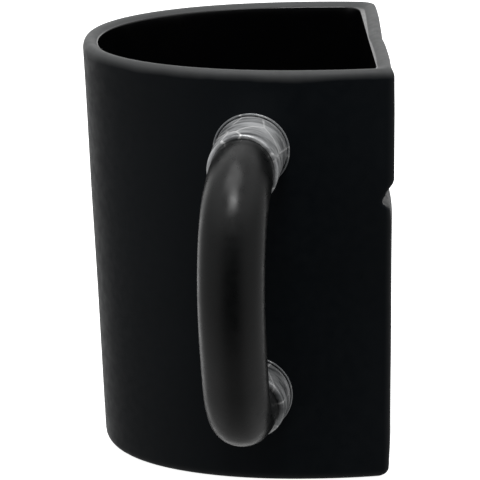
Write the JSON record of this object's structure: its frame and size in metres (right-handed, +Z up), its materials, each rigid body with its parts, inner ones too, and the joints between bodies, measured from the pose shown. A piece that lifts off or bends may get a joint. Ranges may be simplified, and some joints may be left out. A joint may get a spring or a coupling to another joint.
{
  "type": "mug",
  "caption": "Half-round black ceramic mug with a flat front wall, a round loop handle and silver-grey sleeves where the handle meets the body.",
  "frame": {"origin": "centre of the whole mug's footprint, handle included, on the surface it stands on", "axes": "+X out of the flat front wall, -Y out of the handle, +Z up out of the open mouth"},
  "size_m": [0.0746, 0.1153, 0.105],
  "materials": {
    "body_glaze": "matte black glaze",
    "interior_glaze": "gloss black glaze",
    "bare_foot": "unglazed, ground flat",
    "handle_glaze": "satin black glaze",
    "collar_lustre": "streaked silver lustre",
    "bead_lustre": "silver lustre"
  },
  "bodies": {
    "root": {"mug_body": "body_glaze", "handle": "handle_glaze", "upper_handle_collar": "collar_lustre", "lower_handle_collar": "collar_lustre", "upper_collar_bead": "bead_lustre", "lower_collar_bead": "bead_lustre"}
  },
  "joints": []
}
